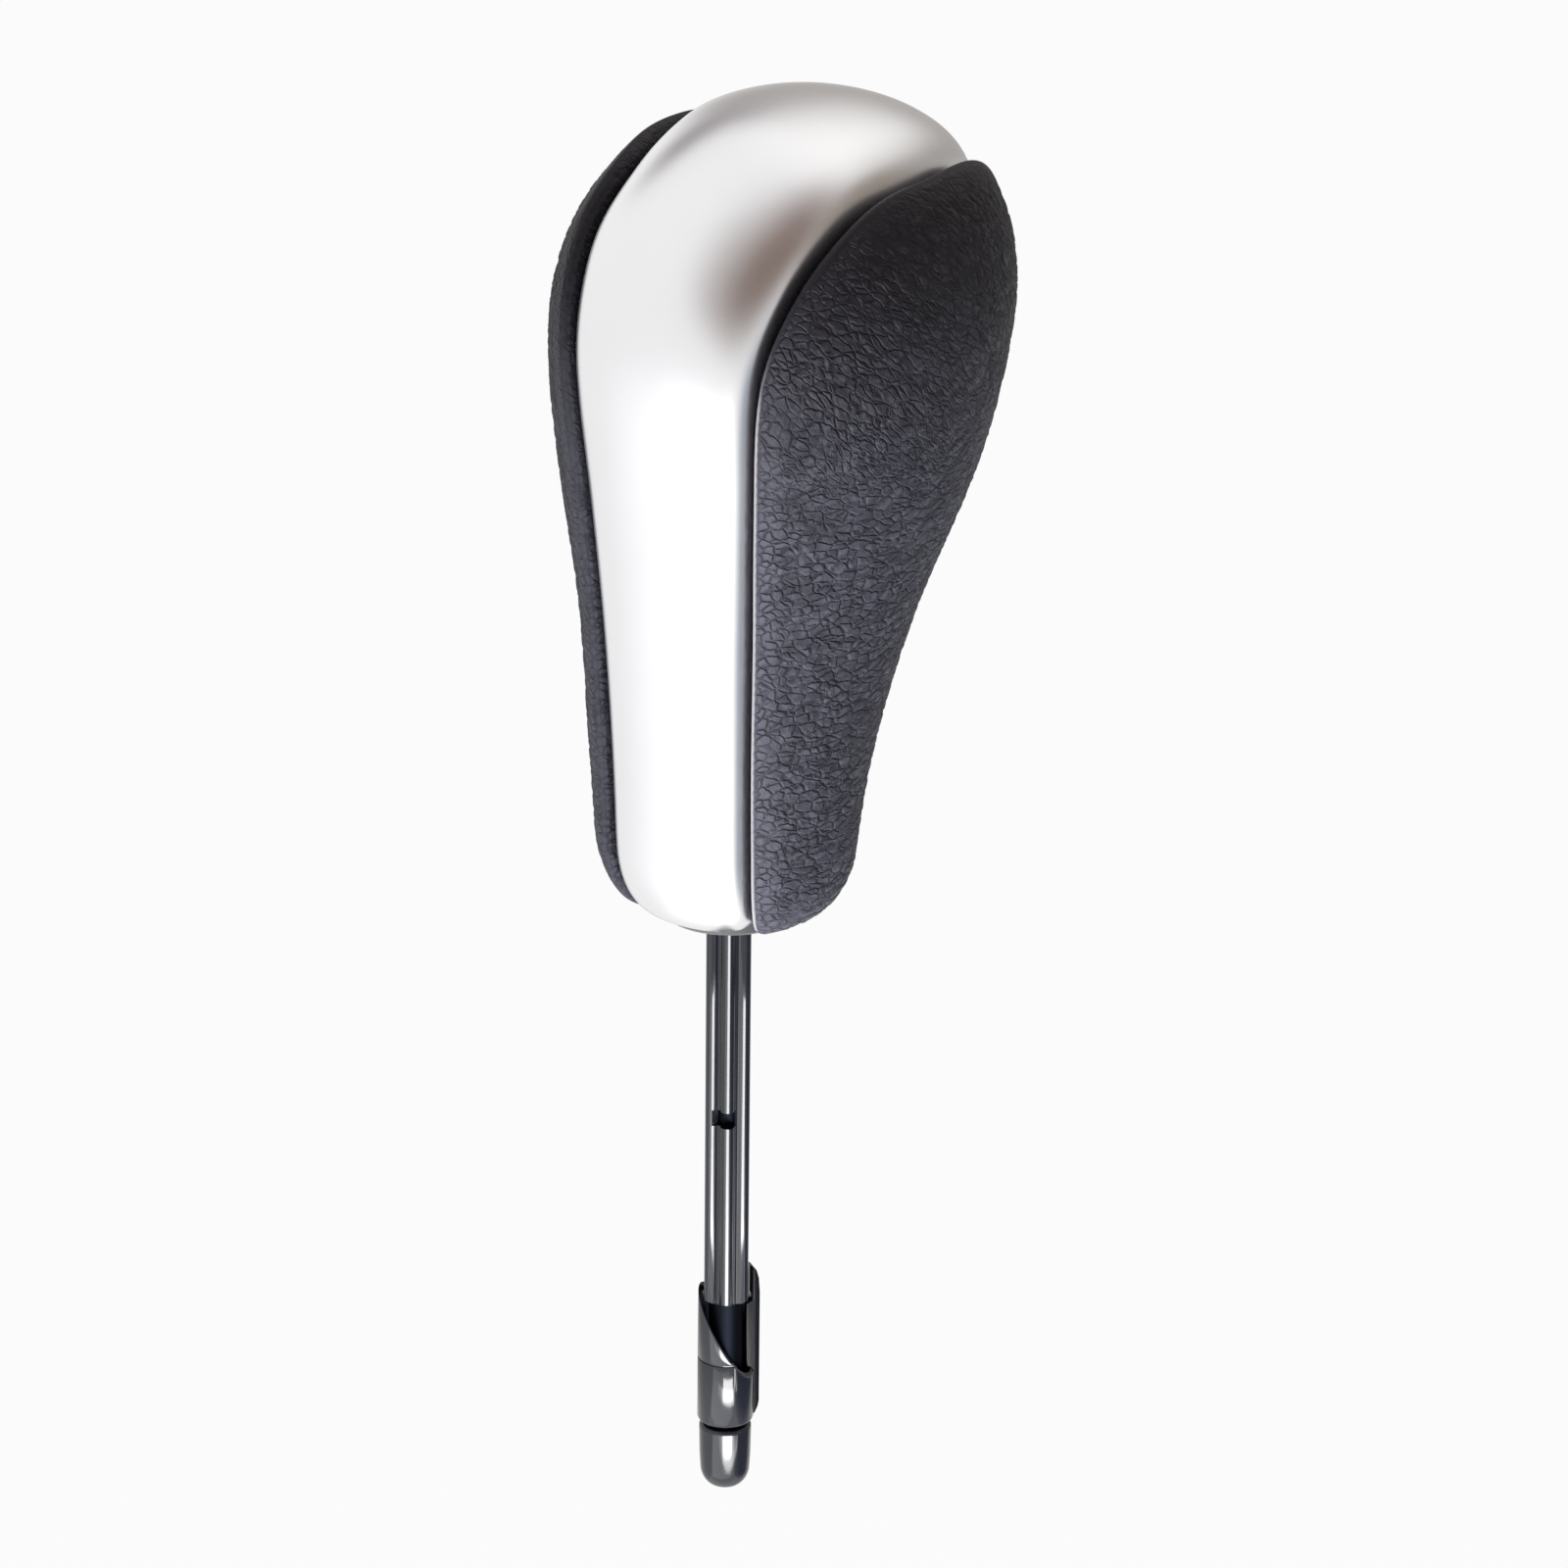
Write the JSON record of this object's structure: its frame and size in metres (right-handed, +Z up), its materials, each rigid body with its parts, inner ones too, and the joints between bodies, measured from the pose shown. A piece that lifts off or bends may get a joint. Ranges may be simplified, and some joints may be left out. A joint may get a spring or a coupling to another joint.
{
  "type": "gear shift knob",
  "caption": "Car gear shift knob with leather side grips, satin silver centre strip, front release button, bell crank and ribbed push rod with cam sleeve.",
  "frame": {"origin": "centre of the ring face on the underside of the base collar, on the axis of the push rod", "axes": "+Z up along the rod axis towards the crown, +Y forward towards the release button, -Y towards the driver and the wide silver strip, +X to the right"},
  "size_m": [0.052, 0.0616, 0.1782],
  "materials": {
    "satin_silver": "satin silver with a soft sheen",
    "leather": "coarse grained, near black",
    "black_plastic": "plain moulded",
    "core_plastic": "glass filled, plain moulded",
    "white_plastic": "natural low friction plastic",
    "grey_plastic": "satin grey",
    "gloss_black": "glossy moulded",
    "steel": "plain zinc plated",
    "spring_steel": "drawn spring wire"
  },
  "bodies": {
    "knob": {"spine_trim": "satin_silver", "front_trim": "satin_silver", "left_leather": "leather", "right_leather": "leather", "left_grip_shell": "black_plastic", "right_grip_shell": "black_plastic", "core_left": "core_plastic", "core_right": "core_plastic", "crank_pin": "steel", "base_collar": "grey_plastic", "socket_sleeve": "steel", "retaining_clip": "spring_steel", "return_spring": "spring_steel", "trim_studs": "white_plastic", "core_screws": "steel"},
    "button": {"release_button": "satin_silver", "button_slider": "black_plastic"},
    "crank": {"bell_crank": "white_plastic"},
    "rod": {"push_rod": "gloss_black", "cam_sleeve": "gloss_black", "rod_carrier": "white_plastic", "carrier_pin": "steel", "spring_washer": "steel"}
  },
  "joints": [
    {"name": "button_push", "type": "slide", "parent": "knob", "child": "button", "axis": [0, -1, 0], "range_m": [0, 0.0045], "stiffness_N_per_m": 900, "springref_m": -0.004},
    {"name": "crank_swing", "type": "hinge", "parent": "knob", "child": "crank", "pos_m": [0, 0.012, 0.06123], "axis": [1, 0, 0], "range_deg": [0, 21.7]},
    {"name": "rod_drop", "type": "slide", "parent": "knob", "child": "rod", "axis": [0, 0, -1], "range_m": [0, 0.0045], "deforming": ["return_spring"]}
  ],
  "couplings": [
    {"joint": "crank_swing", "follows": "button_push", "rad_per_m": 83.8},
    {"joint": "rod_drop", "follows": "button_push", "ratio": 1}
  ]
}
